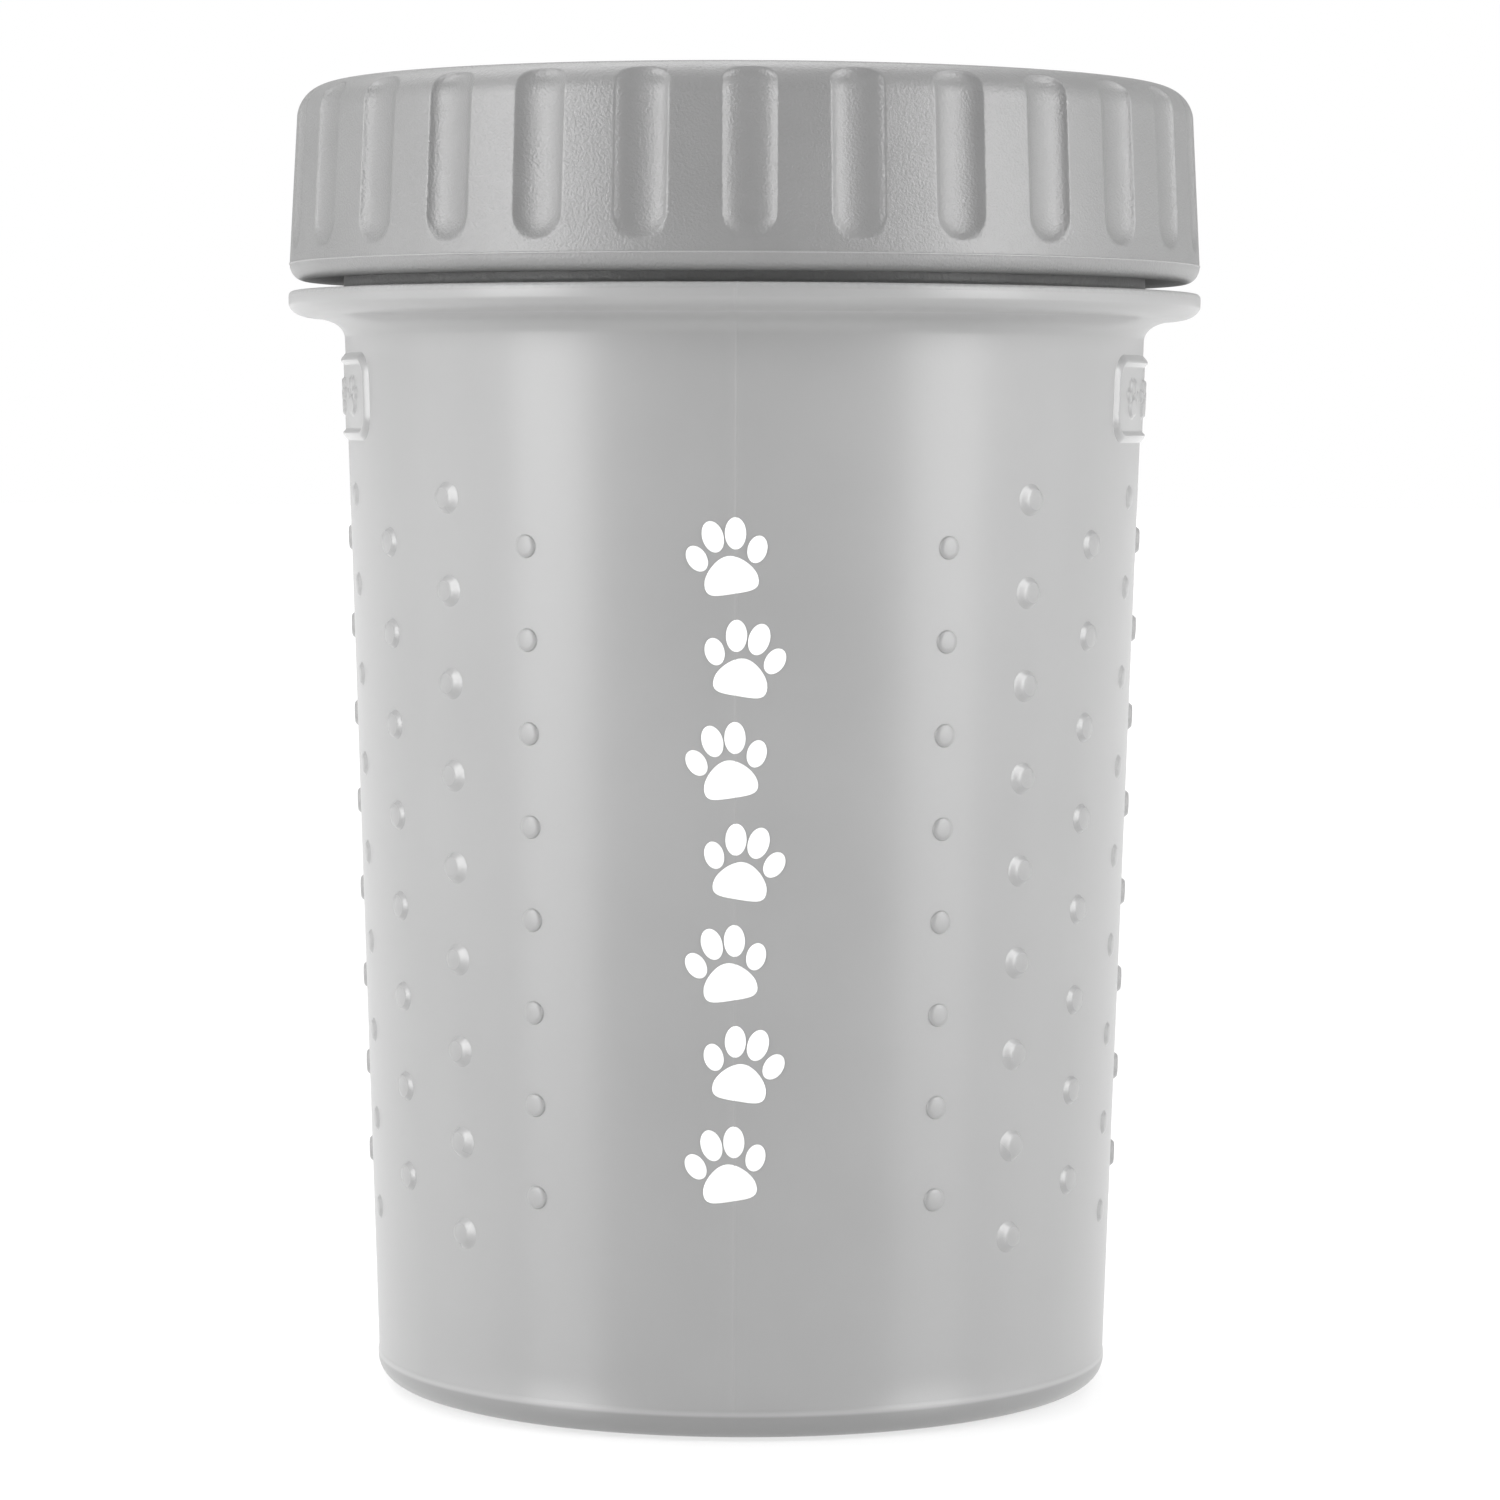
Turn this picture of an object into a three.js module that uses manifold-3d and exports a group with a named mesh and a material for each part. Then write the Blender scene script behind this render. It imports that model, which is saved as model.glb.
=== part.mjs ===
// Paw washer cup: a tapered cup, a silicone sleeve with rows of soft bristles that hangs in it, a flat
// seal, and a ring that twists onto four lugs on the cup's neck.
// Millimetres, +Z up. The origin is the centre of the foot, on the surface that the cup stands on.
// Angles are in degrees about Z, counted from the front (-Y) towards +X.

import * as THREE from 'three';
import { mergeVertices } from 'three/addons/utils/BufferGeometryUtils.js';
import Module from 'manifold-3d';

const wasm = await Module();
wasm.setup();

// ---------------------------------------------------------------- driving dimensions

const HEIGHT = 153.6;             // foot to the ring's top
const CLEARANCE = 0.3;            // between pieces that touch

// cup
const FOOT_CONTACT_R = 41.8;
const FOOT_EDGE = { r: 43.65, z: 2.0 };
const FOOT_RECESS = { r: 37.0, depth: 1.2 };
const FLOOR_TOP = 3.4;
const WALL_TOP = { r: 47.5, z: 124.2 };
const FLANGE = { r: 54.15, z: 128.0, under: 126.1, over: 129.3 };
const NECK_R = 47.6;
const RIM_Z = 146.6;
const BORE_TOP_R = 45.5;
const BORE_FOOT = { r: 41.9, z: 6.5 };
const CUP_SEGMENTS = 56;

// raised badge frame on each flank
const BADGE = { low: 112.2, high: 122.1, halfAngle: 23.8, proud: 48.0, panel: 47.5, border: 1.2 };

// twist-lock closure: each cup lug is an upright stop with an arm that the ring's lug slides under
const LUG_COUNT = 4;
const LUG_OUTER_R = 49.7;
const LUG_TOP = 139.6;
const STOP = { from: 15.6, to: 35.8, low: 131.2 };
const ARM = { to: 60.0, low: 136.6 };
const RING_LUG = { halfAngle: 14.9, low: 132.0, high: 136.2, innerR: 48.2 };

// twist ring
const RING_FOOT_Z = 130.6;
const RING_WIDEST = { r: 54.0, z: 132.4 };
const RING_SHOULDER = { r: 53.1, z: 149.6 };
const RING_TOP_R = 49.0;
const SKIRT_BORE_R = 50.2;
const ROOF_UNDER_Z = 150.5;
const MOUTH_R = 38.5;
const LIP = { outerR: 40.5, low: 145.0 };
const MOUTH_ROLL = 3.0;
const FLUTE_COUNT = 28;
const FLUTE = { width: 6.0, depth: 1.0, low: 134.2, phase: 1.6 };
const RING_SEGMENTS = 56;

// rim seal
const SEAL = { innerR: 41.4, outerR: 46.9, thickness: 1.5 };

// silicone sleeve
const SLEEVE_FOOT = { r: 41.4, z: 30.0 };
const SLEEVE_TOP_R = 44.4;
const SLEEVE_WALL = 1.2;
const SLEEVE_FLANGE = { r: 47.1, thickness: 1.5 };
const SLEEVE_SEGMENTS = 56;

// bristle strips
const STRIP_COUNT = 16;
const STRIP = { low: 34.0, high: 142.0, width: 5.0, thickness: 1.0 };
const BRISTLE = { pitch: 11.0, firstZ: 39.0, baseR: 1.6, tipR: 0.9, tipCircleR: 18.5, sides: 5 };
const BRISTLES_ON_LONG_ROW = 10;

// ---------------------------------------------------------------- materials

const materials = {
  cup: new THREE.MeshStandardMaterial({ color: 0xaeb0b1, roughness: 0.55, metalness: 0 }),
  ring: new THREE.MeshStandardMaterial({ color: 0xa2a4a6, roughness: 0.5, metalness: 0 }),
  silicone: new THREE.MeshStandardMaterial({ color: 0xc9ccce, roughness: 0.7, metalness: 0 }),
  seal: new THREE.MeshStandardMaterial({ color: 0x6f7274, roughness: 0.75, metalness: 0 }),
};

// ---------------------------------------------------------------- solids and booleans

const rad = THREE.MathUtils.degToRad;

function triangles(geometry) {
  // Vertex indices of every triangle that has three different corners.
  const index = geometry.index.array;
  const kept = [];
  for (let i = 0; i < index.length; i += 3) {
    const [a, b, c] = [index[i], index[i + 1], index[i + 2]];
    if (a !== b && b !== c && c !== a) kept.push(a, b, c);
  }
  return kept;
}

function solid(geometry) {
  const bare = geometry.clone();
  bare.deleteAttribute('normal');
  bare.deleteAttribute('uv');
  const merged = mergeVertices(bare, 1e-4);
  const mesh = new wasm.Mesh({
    numProp: 3,
    vertProperties: new Float32Array(merged.attributes.position.array),
    triVerts: new Uint32Array(triangles(merged)),
  });
  return new wasm.Manifold(mesh);
}

function geometryOf(manifold) {
  const mesh = manifold.getMesh();
  const geometry = new THREE.BufferGeometry();
  geometry.setAttribute('position', new THREE.BufferAttribute(new Float32Array(mesh.vertProperties), 3));
  geometry.setIndex(Array.from(mesh.triVerts));
  geometry.computeVertexNormals();
  return geometry;
}

function revolve(profile, segments) {
  // Profile points are [radius, z] in anticlockwise order, so that the faces point out.
  const points = profile.map(([r, z]) => new THREE.Vector2(r, z));
  const geometry = new THREE.LatheGeometry(points, segments);
  geometry.rotateX(Math.PI / 2);
  return solid(geometry);
}

function closeProfile(profile) {
  return [...profile, profile[0]];
}

function arcPoints(centreR, centreZ, radiusR, radiusZ, fromDegrees, toDegrees, steps) {
  // Points on an elliptical arc in the profile plane, both ends included.
  const points = [];
  for (let i = 0; i <= steps; i += 1) {
    const angle = rad(fromDegrees + (toDegrees - fromDegrees) * i / steps);
    points.push([centreR + radiusR * Math.cos(angle), centreZ + radiusZ * Math.sin(angle)]);
  }
  return points;
}

function sector(innerR, outerR, fromDegrees, toDegrees, low, high) {
  // A block between two radii, two angles and two heights.
  const steps = Math.max(2, Math.ceil((toDegrees - fromDegrees) / 6));
  const shape = new THREE.Shape();
  for (let i = 0; i <= steps; i += 1) {
    const angle = rad(fromDegrees + (toDegrees - fromDegrees) * i / steps - 90);
    const [x, y] = [outerR * Math.cos(angle), outerR * Math.sin(angle)];
    if (i === 0) shape.moveTo(x, y);
    else shape.lineTo(x, y);
  }
  for (let i = steps; i >= 0; i -= 1) {
    const angle = rad(fromDegrees + (toDegrees - fromDegrees) * i / steps - 90);
    shape.lineTo(innerR * Math.cos(angle), innerR * Math.sin(angle));
  }
  shape.closePath();
  const geometry = new THREE.ExtrudeGeometry(shape, { depth: high - low, bevelEnabled: false });
  geometry.translate(0, 0, low);
  return solid(mergeVertices(geometry));
}

function aroundAxis(geometry, degrees) {
  geometry.rotateZ(rad(degrees));
  return geometry;
}

// ---------------------------------------------------------------- cup

function cupProfile() {
  const footRadial = FOOT_EDGE.r - FOOT_CONTACT_R;
  return [
    [0, FOOT_RECESS.depth],
    [FOOT_RECESS.r, FOOT_RECESS.depth],
    [FOOT_RECESS.r + 0.8, 0],
    ...arcPoints(FOOT_CONTACT_R, FOOT_EDGE.z, footRadial, FOOT_EDGE.z, -90, 0, 2),
    [WALL_TOP.r, WALL_TOP.z],
    [WALL_TOP.r + 0.5, FLANGE.under - 0.6],
    [WALL_TOP.r + 1.8, FLANGE.under],
    [FLANGE.r - 1.1, FLANGE.z - 1.2],
    [FLANGE.r, FLANGE.z],
    [FLANGE.r - 0.9, FLANGE.z + 1.0],
    [NECK_R, FLANGE.over],
    [NECK_R, RIM_Z - 0.5],
    [NECK_R - 0.5, RIM_Z],
    [BORE_TOP_R + 0.4, RIM_Z],
    [BORE_TOP_R, RIM_Z - 0.4],
    [BORE_FOOT.r, BORE_FOOT.z],
    [BORE_FOOT.r - 0.9, FLOOR_TOP + 0.9],
    [BORE_FOOT.r - 3.0, FLOOR_TOP],
    [0, FLOOR_TOP],
  ];
}

function cupLug(index) {
  const turn = index * 360 / LUG_COUNT;
  const rootR = NECK_R - 1;
  const stop = sector(rootR, LUG_OUTER_R, turn + STOP.from, turn + STOP.to, STOP.low, LUG_TOP);
  const arm = sector(rootR, LUG_OUTER_R, turn + STOP.to - 1, turn + ARM.to, ARM.low, LUG_TOP);
  return stop.add(arm);
}

function badgeFrame(centre) {
  const angleBorder = THREE.MathUtils.radToDeg(BADGE.border / BADGE.proud);
  const rootR = WALL_TOP.r - 1.4;
  const plate = sector(
    rootR, BADGE.proud, centre - BADGE.halfAngle, centre + BADGE.halfAngle, BADGE.low, BADGE.high,
  );
  const inner = BADGE.halfAngle - angleBorder;
  const recess = sector(
    BADGE.panel, BADGE.proud + 2, centre - inner, centre + inner,
    BADGE.low + BADGE.border, BADGE.high - BADGE.border,
  );
  return plate.subtract(recess);
}

function makeCup() {
  let cup = revolve(cupProfile(), CUP_SEGMENTS);
  for (let i = 0; i < LUG_COUNT; i += 1) cup = cup.add(cupLug(i));
  for (const centre of [-90, 90]) cup = cup.add(badgeFrame(centre));
  return geometryOf(cup);
}

// ---------------------------------------------------------------- twist ring

function ringProfile() {
  const footFillet = RING_WIDEST.z - RING_FOOT_Z;
  const shoulderRadial = RING_SHOULDER.r - RING_TOP_R;
  return closeProfile([
    [SKIRT_BORE_R + 0.5, RING_FOOT_Z],
    ...arcPoints(RING_WIDEST.r - footFillet, RING_WIDEST.z, footFillet, footFillet, -90, 0, 2),
    ...arcPoints(RING_TOP_R, RING_SHOULDER.z, shoulderRadial, HEIGHT - RING_SHOULDER.z, 0, 90, 3),
    ...arcPoints(MOUTH_R + MOUTH_ROLL, HEIGHT - MOUTH_ROLL, MOUTH_ROLL, MOUTH_ROLL, 90, 180, 2),
    [MOUTH_R, LIP.low + 0.6],
    [MOUTH_R + 0.6, LIP.low],
    [LIP.outerR, LIP.low + 0.8],
    [LIP.outerR, ROOF_UNDER_Z],
    [SKIRT_BORE_R - 0.6, ROOF_UNDER_Z],
    [SKIRT_BORE_R, ROOF_UNDER_Z - 0.6],
    [SKIRT_BORE_R, RING_FOOT_Z + 0.5],
  ]);
}

function fluteCutter(index) {
  // A round bar with a ball end, just outside the wall, that leaves one finger flute.
  const radius = (FLUTE.width ** 2 / 4 + FLUTE.depth ** 2) / (2 * FLUTE.depth);
  const length = HEIGHT + 6 - FLUTE.low;
  const wallR = (RING_WIDEST.r + RING_SHOULDER.r) / 2;
  const endZ = FLUTE.low + FLUTE.width / 2;
  const bar = new THREE.CapsuleGeometry(radius, length, 2, 10);
  bar.rotateX(Math.PI / 2);
  bar.translate(0, -(wallR - FLUTE.depth + radius), endZ + length / 2);
  return solid(aroundAxis(bar, FLUTE.phase + index * 360 / FLUTE_COUNT));
}

function ringLug(index) {
  const centre = index * 360 / LUG_COUNT;
  return sector(
    RING_LUG.innerR, SKIRT_BORE_R + 0.7, centre - RING_LUG.halfAngle, centre + RING_LUG.halfAngle,
    RING_LUG.low, RING_LUG.high,
  );
}

function makeTwistRing() {
  let ring = revolve(ringProfile(), RING_SEGMENTS);
  for (let i = 0; i < FLUTE_COUNT; i += 1) ring = ring.subtract(fluteCutter(i));
  for (let i = 0; i < LUG_COUNT; i += 1) ring = ring.add(ringLug(i));
  return geometryOf(ring);
}

// ---------------------------------------------------------------- silicone insert and seal

const flangeLow = RIM_Z + CLEARANCE;
const flangeHigh = flangeLow + SLEEVE_FLANGE.thickness;
const sleeveBoreTopR = SLEEVE_TOP_R - SLEEVE_WALL;
const sleeveBoreFootR = SLEEVE_FOOT.r - SLEEVE_WALL;
const sleeveTaper = Math.atan2(sleeveBoreTopR - sleeveBoreFootR, flangeHigh - SLEEVE_FOOT.z);

function sleeveBoreR(z) {
  return sleeveBoreFootR + (z - SLEEVE_FOOT.z) * Math.tan(sleeveTaper);
}

function makeSleeve() {
  const profile = closeProfile([
    [sleeveBoreFootR, SLEEVE_FOOT.z],
    [SLEEVE_FOOT.r, SLEEVE_FOOT.z],
    [SLEEVE_TOP_R, flangeLow],
    [SLEEVE_FLANGE.r, flangeLow],
    [SLEEVE_FLANGE.r, flangeHigh],
    [sleeveBoreTopR, flangeHigh],
  ]);
  return geometryOf(revolve(profile, SLEEVE_SEGMENTS));
}

function makeSeal() {
  const low = flangeHigh + CLEARANCE;
  const high = low + SEAL.thickness;
  const profile = closeProfile([
    [SEAL.innerR, low],
    [SEAL.outerR, low],
    [SEAL.outerR, high],
    [SEAL.innerR, high],
  ]);
  return geometryOf(revolve(profile, SLEEVE_SEGMENTS));
}

function stripBacking() {
  // A flat band that follows the sleeve's taper, standing in front of the axis at -Y.
  const middleZ = (STRIP.low + STRIP.high) / 2;
  const sagitta = STRIP.width ** 2 / (8 * sleeveBoreR(middleZ));
  const middleR = sleeveBoreR(middleZ) - CLEARANCE - sagitta - STRIP.thickness / 2;
  const band = new THREE.BoxGeometry(STRIP.width, STRIP.thickness, STRIP.high - STRIP.low);
  band.rotateX(sleeveTaper);
  band.translate(0, -middleR, middleZ);
  return band;
}

function bristle(z) {
  // One bristle that points from the strip at -Y towards the axis.
  const rootR = sleeveBoreR(z) - CLEARANCE - STRIP.thickness / 2;
  const length = rootR - BRISTLE.tipCircleR;
  const pin = new THREE.CylinderGeometry(BRISTLE.tipR, BRISTLE.baseR, length, BRISTLE.sides);
  pin.translate(0, length / 2 - rootR, z);
  return pin;
}

function makeBristleStrip(index) {
  const isLongRow = index % 2 === 0;
  const count = isLongRow ? BRISTLES_ON_LONG_ROW : BRISTLES_ON_LONG_ROW - 1;
  const firstZ = BRISTLE.firstZ + (isLongRow ? 0 : BRISTLE.pitch / 2);
  const turn = index * 360 / STRIP_COUNT;
  let strip = solid(aroundAxis(stripBacking(), turn));
  for (let i = 0; i < count; i += 1) {
    strip = strip.add(solid(aroundAxis(bristle(firstZ + i * BRISTLE.pitch), turn)));
  }
  return geometryOf(strip);
}

// ---------------------------------------------------------------- assembly

function part(name, geometry, material) {
  const mesh = new THREE.Mesh(geometry, material);
  mesh.name = name;
  return mesh;
}

const insert = new THREE.Group();
insert.add(part('sleeve', makeSleeve(), materials.silicone));
for (let i = 0; i < STRIP_COUNT; i += 1) {
  const number = String(i + 1).padStart(2, '0');
  insert.add(part(`bristle_strip_${number}`, makeBristleStrip(i), materials.silicone));
}

const group = new THREE.Group();
group.add(part('cup', makeCup(), materials.cup));
group.add(insert);
group.add(part('rim_seal', makeSeal(), materials.seal));
group.add(part('twist_ring', makeTwistRing(), materials.ring));

export default group;
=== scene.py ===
import math

import bpy
import numpy as np
from mathutils import Matrix, Vector


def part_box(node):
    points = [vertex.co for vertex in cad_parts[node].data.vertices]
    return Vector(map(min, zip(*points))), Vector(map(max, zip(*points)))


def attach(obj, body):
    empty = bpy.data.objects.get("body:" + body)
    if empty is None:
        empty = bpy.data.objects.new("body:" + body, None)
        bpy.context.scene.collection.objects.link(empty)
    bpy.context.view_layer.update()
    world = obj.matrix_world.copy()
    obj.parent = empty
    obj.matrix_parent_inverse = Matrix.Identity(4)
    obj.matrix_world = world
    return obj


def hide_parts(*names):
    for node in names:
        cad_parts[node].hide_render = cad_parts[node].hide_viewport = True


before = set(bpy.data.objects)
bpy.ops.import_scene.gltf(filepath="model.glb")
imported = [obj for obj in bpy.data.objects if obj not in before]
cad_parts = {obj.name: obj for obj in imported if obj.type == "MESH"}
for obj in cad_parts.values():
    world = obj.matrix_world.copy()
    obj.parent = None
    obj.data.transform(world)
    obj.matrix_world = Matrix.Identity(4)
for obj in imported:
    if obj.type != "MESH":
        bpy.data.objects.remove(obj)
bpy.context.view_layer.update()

# Paw washer cup. Metres, +Z up, front at -Y. Azimuths are counted about Z from the front towards +X.

MM = 0.001
DEG = math.pi / 180

# ---------------------------------------------------------------- sizes taken from the frame

CUP_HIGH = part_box("cup")[1]
RING_LOW, RING_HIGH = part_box("twist_ring")
SEAL_LOW, SEAL_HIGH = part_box("rim_seal")
SLEEVE_LOW, SLEEVE_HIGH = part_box("sleeve")

FLANGE_R = CUP_HIGH.x
RIM_Z = CUP_HIGH.z
RING_R = RING_HIGH.x
RING_FOOT_Z = RING_LOW.z
TOP_Z = RING_HIGH.z

# ---------------------------------------------------------------- cup sizes

RECESS_R = 36.6 * MM                 # flat part of the recess under the foot
RECESS_DEPTH = 1.2 * MM
RECESS_EDGE = 0.5 * MM               # rounding inside the recess
FOOT_R = 41.5 * MM                   # where the rounded foot meets the surface below
FOOT_BAND_R = 43.65 * MM             # smooth band round the foot, just proud of the wall above it
FOOT_ROUND_TOP = 2.6 * MM            # upper end of the foot's rounding
FOOT_BAND_TOP = 3.0 * MM
WALL_FOOT = (43.55 * MM, 3.5 * MM)
WALL_TOP = (47.5 * MM, 123.9 * MM)
NECK_R = 47.6 * MM
BORE_TOP_R = 45.5 * MM
BORE_FOOT = (41.9 * MM, 6.5 * MM)
FLOOR_TOP = 3.4 * MM
FLANGE_LOW = 126.25 * MM
FLANGE_Z = 128.0 * MM                # where the flange is widest
FLANGE_TOP = 129.38 * MM
FLANGE_NOSE = 2.9 * MM               # width of the large rounding under the flange's edge
FLANGE_OVER = 0.6 * MM               # radius of the small rounding above it
NECK_ROUND_R = NECK_R + 0.7 * MM     # outer end of the fillet at the neck's foot
NECK_ROUND_Z = 130.1 * MM            # upper end of that fillet
RIM_EDGE = 0.6 * MM
FLOOR_ROUND = 3.1 * MM
SEAM_HEIGHT = 0.085 * MM             # the mould parting lines stand this far out
SEAM_WIDTH = 0.12 * MM

BUMP_COLUMNS = (30.4, 44.6, 59.4, 74.6, 90.0)    # azimuths on a quarter of the cup, mirrored to the others
BUMP_RADII = (1.35, 1.87, 1.75, 1.5, 1.75)       # mm, one for each of these columns
BUMP_RAMPS = (0.14, 1.35, 0.8, 0.6, 0.5)         # mm wide, on the side towards the nearer parting line
BUMP_EDGES = (0.14, 0.15, 0.15, 0.5, 0.5)        # mm wide, on the other side
BUMP_HEIGHTS = (0.22, 0.42, 0.42, 0.3, 0.5)      # mm
POLISHED_COLUMNS = (1, 2)                        # these columns have smoother sides
BUMPS_ON_LONG_COLUMN = 9
BUMP_PITCH = 10.52 * MM
BUMP_MIDDLE_Z = 63.4 * MM
BUMP_CROWN = 0.05 * MM
BUMP_ROOT = -0.3 * MM                            # a bump starts this far inside the wall
BUMP_SINK = 0.02 * MM                            # and its slope this far
BUMP_SIDES = 32
BUMP_STEPS = (0, 0.1, 0.22, 0.4, 0.6, 0.78, 0.9, 1)   # levels of the sloping side

BADGE_LOW = 111.8 * MM
BADGE_HIGH = 122.1 * MM
BADGE_HALF_ANGLE = 24.6 * DEG
BADGE_CORNER = 3.0 * MM
BADGE_RISE = 0.8 * MM                # height of the frame above its sunk foot
BADGE_FOOT = -0.25 * MM              # level of that foot from the wall's surface
BADGE_SLOPE_START = 0.33 * MM        # the frame's outer slope starts this far outside its outline
BADGE_SLOPE_WIDTH = 1.06 * MM
BADGE_PANEL_START = 1.0 * MM         # the panel sinks between these distances inside the outline
BADGE_PANEL_END = 1.3 * MM
BADGE_PANEL_DEPTH = 0.3 * MM
BADGE_PAW_PITCH = 7.0 * MM
BADGE_PAW_SIZE = 2.35 * MM           # half the height of a paw print on the badge
BADGE_PAWS_BESIDE = 2                # paw prints on each side of the middle one
BADGE_PAW_SLOPE = (0.10 * MM, -0.15 * MM)     # a print's edge rises between these distances
BADGE_PLATE_DEPTH = 0.9 * MM         # the badge's plate reaches this far into the wall
BADGE_MARGIN = 0.4 * MM              # the plate reaches this far past the frame's outline
BADGE_ROWS = 72
BADGE_COLUMNS = 264

TRAIL_COUNT = 7
TRAIL_LOW = 31.0 * MM
TRAIL_HIGH = 99.0 * MM
TRAIL_PAW_SIZE = 4.7 * MM            # half the height of a printed paw
TRAIL_STEP = 0.9 * MM                # how far each print stands to its side
TRAIL_TURN = 9 * DEG                 # and how far its toes turn out
INK_FILM = 0.11 * MM
INK_ROOT = -0.10 * MM                # the ink starts this far inside the wall

# ---------------------------------------------------------------- twist-lock sizes

LUG_COUNT = 4
LUG_EASE = 0.25 * MM                 # rounding of a lug's long edges
LUG_ARC_STEP = 1.5 * DEG             # mesh steps along a stop or an arm
LUG_ROOT_R = NECK_R - 0.8 * MM
LUG_TOP = 139.6 * MM
STOP_R = 49.7 * MM
STOP_LOW = 131.2 * MM
STOP_START = 15.6 * DEG
STOP_END = 35.8 * DEG
ARM_R = 49.65 * MM
ARM_LOW = 136.6 * MM
ARM_START = 35.0 * DEG
ARM_END = 60.0 * DEG
RING_LUG_R = 48.2 * MM
RING_LUG_LOW = 132.0 * MM
RING_LUG_HIGH = 136.2 * MM
RING_LUG_HALF_ANGLE = 14.9 * DEG

# ---------------------------------------------------------------- ring sizes

RING_SHOULDER = (53.1 * MM, 149.6 * MM)
RING_TOP_R = 49.0 * MM
RING_PARTING_Z = 132.6 * MM
PARTING_RIDGE = (                    # a fine ridge there: mm outwards and mm upwards
    (0, -0.14),
    (0.02, -0.09),
    (0.08, -0.05),
    (0.08, 0.06),
    (0.01, 0.10),
    (-0.01, 0.18),
)
SKIRT_BORE_R = 50.2 * MM
ROOF_Z = 150.5 * MM
MOUTH_R = 38.5 * MM
LIP_OUTER_R = 40.5 * MM
LIP_LOW = 145.0 * MM
LIP_ROUND = 1 * MM
RING_FOOT_ROUND = 1.8 * MM           # width of the rounding at the ring's foot
RING_FOOT_SLOPE_R = RING_R - 2.0 * MM    # inside this, the foot slopes up to the skirt's bore
RING_FOOT_SLOPE = 1.3 * MM           # height of that slope
ROOF_ROUND = 0.8 * MM
MOUTH_ROLL = 3.0 * MM
FLUTE_COUNT = 28
FLUTE_PITCH = 2 * math.pi / FLUTE_COUNT
FLUTE_WIDTH = 6.0 * MM
FLUTE_SCOOP = 0.64 * MM              # how far the flute dips between its lips
FLUTE_STEP = 0.27 * MM               # how deep the lips themselves are
FLUTE_LIP = 0.11 * MM                # width of the rounding at the lips
FLUTE_POINTS = (0.8, 1.5, 2.1, 2.5, 2.75, 2.9, 3.02, 3.14, 3.3, 3.8, 4.6)   # mm from a flute's middle
FLUTE_LOW = 134.1 * MM
FLUTE_HIGH = 152.75 * MM
FLUTE_ARCH = 1.35 * MM               # height of the flattened arch at the upper end
FLUTE_PHASE = 1.6 * DEG

# ---------------------------------------------------------------- insert sizes

SLEEVE_WALL = 1.2 * MM
SLEEVE_TOP_R = 44.4 * MM
SLEEVE_FOOT_R = 41.4 * MM
SLEEVE_FLANGE_THICKNESS = 1.5 * MM
SLEEVE_EASE = 0.4 * MM
SEAL_INNER_R = 41.4 * MM
STRIP_COUNT = 16
STRIP_HALF_WIDTH = 2.5 * MM
STRIP_THICKNESS = 1.0 * MM
STRIP_GAP = 0.38 * MM                # between a strip's back and the sleeve
STRIP_EASE = 0.5 * MM                # length of the narrowed piece at each end
STRIP_SIDES = 16
BRISTLE_PITCH = 11.0 * MM
BRISTLE_FIRST_Z = 39.0 * MM
BRISTLES_ON_LONG_ROW = 10
BRISTLE_ROOT = 0.5 * MM              # a bristle starts this far in front of the sleeve's bore
BRISTLE_TIP_CIRCLE_R = 18.5 * MM
BRISTLE_TIP_R = 0.85 * MM
BRISTLE_SIDES = 14


# ---------------------------------------------------------------- mesh helpers

def line(start, end, steps):
    """Points from start towards end, without the end."""
    return np.linspace(start, end, steps, endpoint=False)


def arc(centre, radii, start, end, steps):
    """Points on an elliptical arc in the profile plane, angles in degrees, without the end."""
    angle = np.linspace(start, end, steps, endpoint=False) * DEG
    return np.stack([centre[0] + radii[0] * np.cos(angle), centre[1] + radii[1] * np.sin(angle)], 1)


def curve(start, control, end, steps):
    """Points on a quadratic curve, without the end."""
    t = np.linspace(0, 1, steps, endpoint=False)[:, None]
    start, control, end = (np.array(p) for p in (start, control, end))
    return (1 - t) ** 2 * start + 2 * t * (1 - t) * control + t ** 2 * end


def new_object(name, points, faces, material):
    """A smooth-shaded mesh object, linked to the scene."""
    mesh = bpy.data.meshes.new(name)
    mesh.from_pydata(np.asarray(points).tolist(), [], faces)
    mesh.polygons.foreach_set("use_smooth", [True] * len(mesh.polygons))
    mesh.validate()
    mesh.update()
    mesh.materials.append(material)
    made = bpy.data.objects.new(name, mesh)
    bpy.context.scene.collection.objects.link(made)
    return made


def around(radius, azimuth, z):
    """Cartesian points from radius, azimuth and height arrays of one shape."""
    return np.stack([radius * np.sin(azimuth), -radius * np.cos(azimuth), z + 0 * radius], -1)


def grid_faces(rows, columns, wrap_rows, wrap_columns, first=0):
    """Quads of a grid of points stored row by row."""
    faces = []
    for i in range(rows if wrap_rows else rows - 1):
        low, high = first + i * columns, first + (i + 1) % rows * columns
        for j in range(columns if wrap_columns else columns - 1):
            k = (j + 1) % columns
            faces.append((low + j, low + k, high + k, high + j))
    return faces


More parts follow.
